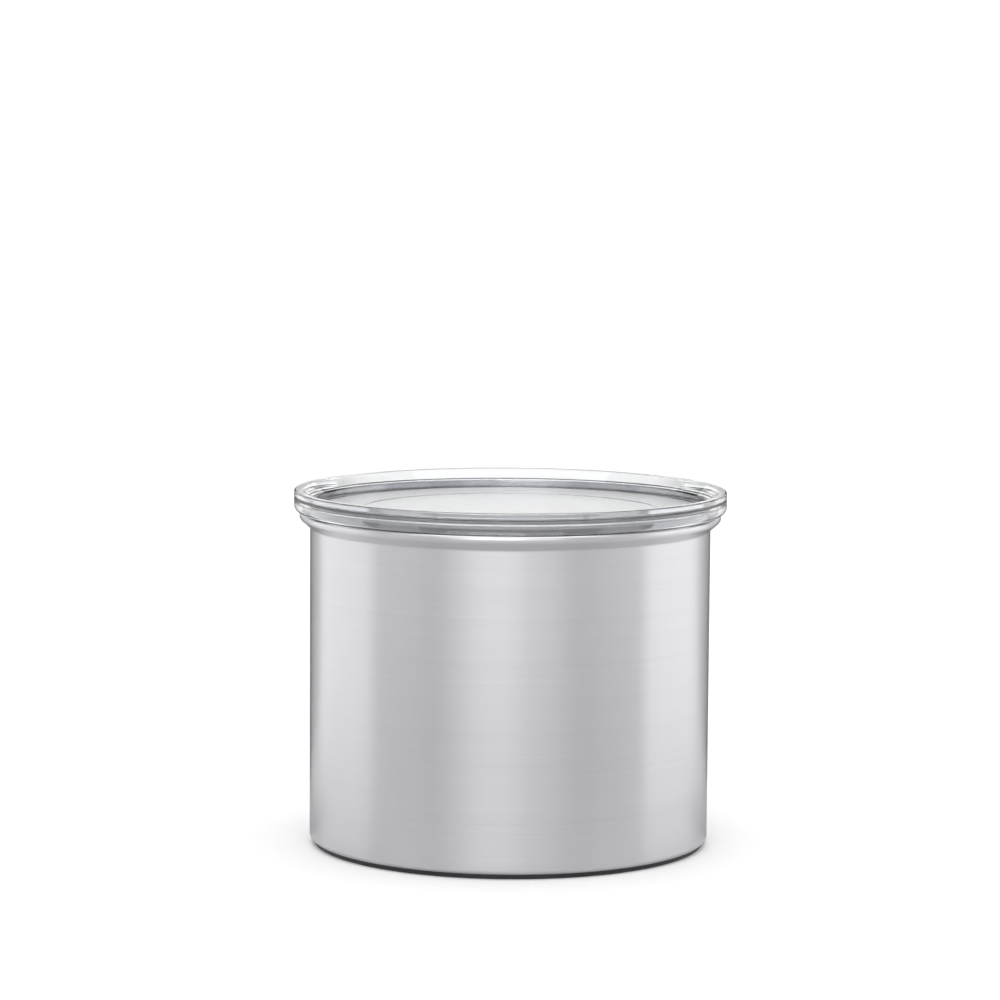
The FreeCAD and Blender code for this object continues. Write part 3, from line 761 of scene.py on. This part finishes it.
class CANISTER_OT_spring(bpy.types.Operator):
    """Wind the valve's spring"""

    bl_idname = "canister.spring"
    bl_label = "Valve spring"

    def execute(self, context):
        valve = context.scene.canister_valve
        low = valve.base + valve.spring_foot
        tall = valve.spring_height
        inset = valve.spring_wire + 0.05 * MM
        steps = valve.spring_turns * 48
        bm = bmesh.new()
        stand = Matrix.Rotation(math.pi / 2, 4, "X")
        place = Matrix.Translation((valve.spring_radius, 0, low + inset)) @ stand
        ring = bmesh.ops.create_circle(
            bm, cap_ends=False, segments=14, radius=valve.spring_wire, matrix=place
        )
        start = list(bm.edges)
        spun = bmesh.ops.spin(
            bm,
            geom=ring["verts"] + start,
            cent=(0, 0, 0),
            axis=AXIS,
            dvec=(0, 0, (tall - 2 * inset) / steps),
            angle=math.tau * valve.spring_turns,
            steps=steps,
            use_merge=False,
            use_duplicate=False,
        )
        end = [item for item in spun["geom_last"] if isinstance(item, bmesh.types.BMEdge)]
        bmesh.ops.holes_fill(bm, edges=start, sides=0)
        bmesh.ops.holes_fill(bm, edges=end, sides=0)
        bmesh.ops.recalc_face_normals(bm, faces=bm.faces)
        coil = settle(bm, "spring_coil", "plunger", "bright_steel", "valve_spring")
        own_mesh(coil)
        return {"FINISHED"}


class CANISTER_OT_handle(bpy.types.Operator):
    """Smooth the folding handle and make its pin and clips"""

    bl_idname = "canister.handle"
    bl_label = "Folding handle"

    def execute(self, context):
        valve = context.scene.canister_valve
        settle(merged_copy("handle"), "fold_handle", "handle", "handle_plastic", "handle")
        pivot = valve.base + valve.pin_height
        half = valve.pin_half
        radius = valve.pin_radius
        lay = Matrix.Translation((0, 0, pivot)) @ Matrix.Rotation(math.pi / 2, 4, "Y")
        pin = turned([(0, -half), (radius, -half, 0.3 * MM), (radius, half, 0.3 * MM), (0, half)], 48)
        bmesh.ops.transform(pin, matrix=lay, verts=pin.verts)
        settle(pin, "handle_pin", "plunger", "bright_steel", "hinge_pin")
        clips = bmesh.new()
        hole = radius + 0.02 * MM
        rim = valve.clip_radius
        for side in (-1, 1):
            inner = side * valve.clip_place
            outer = side * (valve.clip_place + valve.clip_width)
            corners = [(hole, inner), (rim, inner, 0.25 * MM), (rim, outer, 0.5 * MM), (hole, outer)]
            wire_through(clips, corners)
        spin_full(clips, 48)
        bmesh.ops.transform(clips, matrix=lay, verts=clips.verts)
        settle(clips, "pin_clip_pair", "plunger", "bright_steel", "pin_clips")
        return {"FINISHED"}


class CANISTER_OT_stage(bpy.types.Operator):
    """Lay the pale floor and backdrop, set the soft boxes and place the camera"""

    bl_idname = "canister.stage"
    bl_label = "Stage"

    def sweep(self, paper):
        """Floor that runs up into the backdrop in one curve."""
        bm = bmesh.new()
        line = [bm.verts.new(place) for place in ((-4, -4, 0), (-4, 2.6, 0), (-4, 2.6, 4))]
        for start, end in zip(line, line[1:]):
            bm.edges.new((start, end))
        bmesh.ops.bevel(
            bm,
            geom=[line[1]],
            offset=1.4,
            offset_type="OFFSET",
            affect="VERTICES",
            segments=32,
            profile=0.5,
            material=-1,
        )
        wide = bmesh.ops.extrude_edge_only(bm, edges=list(bm.edges))["geom"]
        moved = [item for item in wide if isinstance(item, bmesh.types.BMVert)]
        bmesh.ops.translate(bm, verts=moved, vec=(8, 0, 0))
        bmesh.ops.recalc_face_normals(bm, faces=bm.faces)
        mesh = bpy.data.meshes.new("paper_sweep")
        bm.to_mesh(mesh)
        bm.free()
        mesh.shade_smooth()
        finish = Finish("stage_paper", Roughness=0.9, Specular_IOR_Level=0.1)
        finish.tint(finish.noise((2, 2, 2), 2.0), paper, 0.01)
        mesh.materials.append(finish.material)
        floor = bpy.data.objects.new("paper_sweep", mesh)
        bpy.context.scene.collection.objects.link(floor)

    def box_light(self, name, bearing, distance, height, width, tall, radiance, target=(0, 0, 0.06)):
        """Soft box at a bearing in degrees from the camera's side, which faces the target."""
        data = bpy.data.lights.new(name, "AREA")
        data.shape = "RECTANGLE"
        data.size = width
        data.size_y = tall
        data.energy = math.pi * width * tall * radiance
        lamp = bpy.data.objects.new(name, data)
        angle = math.radians(bearing)
        lamp.location = (math.sin(angle) * distance, -math.cos(angle) * distance, height)
        aim = Vector(target) - lamp.location
        lamp.rotation_euler = aim.to_track_quat("-Z", "Y").to_euler()
        lamp.visible_camera = False
        bpy.context.scene.collection.objects.link(lamp)
        return lamp

    def card(self, name, low, high, grey, mirrors=True, lenses=True, fade=None):
        """Flat card between two corners that only mirrors reflect or clear pieces show. A fade is a mask
        of axes, two distances from the origin along them and the grey at the second."""
        bm = bmesh.new()
        low, high = Vector(low), Vector(high)
        side = Vector((high.x, low.y, low.z))
        bm.faces.new([bm.verts.new(corner) for corner in (low, side, high, low + high - side)])
        mesh = bpy.data.meshes.new(name)
        bm.to_mesh(mesh)
        bm.free()
        finish = Finish(name, Base_Color=(grey, grey, grey, 1), Roughness=0.9)
        if fade:
            mask, start, end, far_grey = fade
            shade = finish.carried(finish.distance(mask), start, end, grey, far_grey)
            finish.links.new(shade, finish.shader.inputs["Base Color"])
        mesh.materials.append(finish.material)
        panel = bpy.data.objects.new(name, mesh)
        panel.visible_camera = False
        panel.visible_shadow = False
        panel.visible_diffuse = False
        panel.visible_glossy = mirrors
        panel.visible_transmission = lenses
        bpy.context.scene.collection.objects.link(panel)

    def lights(self):
        """Soft boxes at both sides, in front and above, and a wash on the backdrop."""
        self.box_light("left_box", -110, 1.7, height=0.55, width=1.7, tall=1.5, radiance=0.74)
        self.box_light("right_box", 106, 1.7, height=0.55, width=1.6, tall=1.5, radiance=0.98)
        self.box_light("front_box", -3, 2.2, height=1.15, width=2.8, tall=0.9, radiance=1.42)
        self.box_light("front_core", -8, 2.2, height=1.15, width=1.2, tall=0.9, radiance=2.05)
        self.box_light("top_box", 180, 0.0, height=2.4, width=2.6, tall=2.6, radiance=1.5)
        wash = self.box_light(
            "back_wash", 180, 1.9, height=2.2, width=2.4, tall=0.8, radiance=2.4, target=(0, 2.6, 0.7)
        )
        wash.data.spread = math.radians(80)
        self.box_light("left_fill", -62, 1.9, height=0.6, width=0.9, tall=1.2, radiance=0.3)
        self.box_light("right_fill", 62, 1.9, height=0.6, width=0.9, tall=1.2, radiance=0.3)

    def cards(self):
        """Grey cards round the can, for the tones that its wall and the clear lid pick up. The card behind
        the can is a painted shadow that only the clear lid shows.
        """
        floor = 1.0 * MM
        under = 0.5 * MM
        outward = ((1, 0, 0), 0.09, 0.18, 0.8)
        for side, name in ((-1, "left"), (1, "right")):
            edge, wing, foot = side * 0.069, side * 0.0916, side * 0.0605
            far_wing = (side * 0.18, 0.12, 0.1)
            far_floor = (side * 0.2, 0.12, under)
            self.card(name + "_edge_card", (edge, 0.09, 0), (side * 0.085, 0.09, 0.12), 0.05, lenses=False)
            self.card(name + "_side_card", (wing, 0.12, 0), far_wing, 0.2, lenses=False, fade=outward)
            self.card(name + "_foot_card", (foot, 0, floor), (side * 0.1, 0.12, floor), 0.45, lenses=False)
            self.card(name + "_floor_card", (foot, -0.07, under), far_floor, 0.7, lenses=False)
            self.card(name + "_strip", (side * 0.52, -0.7, 0), (side * 0.58, -0.7, 0.6), 0.5, lenses=False)
        self.card("far_card", (-1.2, -1.6, floor), (1.2, -0.3, floor), 0.95)
        self.card("middle_card", (-0.4, -0.3, floor), (0.4, -0.13, floor), 0.5)
        aside = ((1, 0, 0), 0.04, 0.09, 0.55)
        self.card("apron_card", (-0.0605, -0.07, under), (0.0605, 0, under), 0.74, lenses=False, fade=aside)
        self.card("near_card", (-0.4, -0.13, floor), (0.4, -0.07, floor), 0.68, fade=aside)
        # Painted shadow: a card that only the clear lid shows, dark near the can and lighter further back,
        # for the can's shade on the floor behind it
        shadow_fade = ((1, 1, 0), 0.08, 0.2, 0.8)
        self.card("behind_shadow_card", (-0.5, 0, floor), (0.5, 0.5, floor), 0.12, mirrors=False, fade=shadow_fade)
        self.card("back_card", (-0.8, 0.9, 0), (0.8, 0.9, 0.4), 0.83, lenses=False)
        self.card("high_card", (-0.8, 0.8, 0.4), (0.8, 0.8, 0.75), 0.05)

    def execute(self, context):
        scene = context.scene
        stage = scene.canister_stage
        scene.view_settings.view_transform = "Standard"
        world = bpy.data.worlds.new("soft_sky")
        world.use_nodes = True
        sky = world.node_tree.nodes["Background"]
        sky.inputs["Color"].default_value = (1, 1, 1, 1)
        sky.inputs["Strength"].default_value = stage.sky
        scene.world = world
        self.sweep(stage.paper)
        self.lights()
        self.cards()
        data = bpy.data.cameras.new("photo_camera")
        data.sensor_width = 36
        data.lens = stage.lens
        data.clip_start = 0.05
        camera = bpy.data.objects.new("photo_camera", data)
        camera.matrix_world = (
            Matrix.Translation((stage.camera_aside, -stage.camera_distance, stage.camera_height))
            @ Matrix.Rotation(math.pi / 2 - stage.camera_pitch, 4, "X")
            @ Matrix.Rotation(stage.camera_roll, 4, "Z")
        )
        scene.collection.objects.link(camera)
        scene.camera = camera
        return {"FINISHED"}


PIECE_OPERATORS = (
    CANISTER_OT_steel_can,
    CANISTER_OT_foot_ring,
    CANISTER_OT_clear_lid,
    CANISTER_OT_inner_lid,
    CANISTER_OT_wiper,
    CANISTER_OT_screws,
    CANISTER_OT_valve,
    CANISTER_OT_spring,
    CANISTER_OT_handle,
    CANISTER_OT_stage,
)

SETTINGS = {
    "canister_can": CanSizes,
    "canister_lid": LidSizes,
    "canister_valve": ValveSizes,
    "canister_finishes": Finishes,
    "canister_stage": StageSettings,
}


class CANISTER_PT_panel(bpy.types.Panel):
    """Lists the canister's pieces and settings"""

    bl_idname = "CANISTER_PT_panel"
    bl_label = "Coffee canister"
    bl_space_type = "VIEW_3D"
    bl_region_type = "UI"
    bl_category = "Canister"

    def draw(self, context):
        for operator in PIECE_OPERATORS:
            self.layout.operator(operator.bl_idname)
        for name, group in SETTINGS.items():
            box = self.layout.box()
            box.label(text=group.__doc__)
            for key in group.__annotations__:
                box.prop(getattr(context.scene, name), key)


CLASSES = (*SETTINGS.values(), *PIECE_OPERATORS, CANISTER_PT_panel)


def register():
    for cls in CLASSES:
        bpy.utils.register_class(cls)
    for name, group in SETTINGS.items():
        setattr(bpy.types.Scene, name, PointerProperty(type=group))


def unregister():
    for name in SETTINGS:
        delattr(bpy.types.Scene, name)
    for cls in reversed(CLASSES):
        bpy.utils.unregister_class(cls)


def main():
    register()
    bpy.ops.canister.steel_can()
    bpy.ops.canister.foot_ring()
    bpy.ops.canister.clear_lid()
    bpy.ops.canister.inner_lid()
    bpy.ops.canister.wiper()
    bpy.ops.canister.screws()
    bpy.ops.canister.valve()
    bpy.ops.canister.spring()
    bpy.ops.canister.handle()
    bpy.ops.canister.stage()


if __name__ == "__main__":
    main()
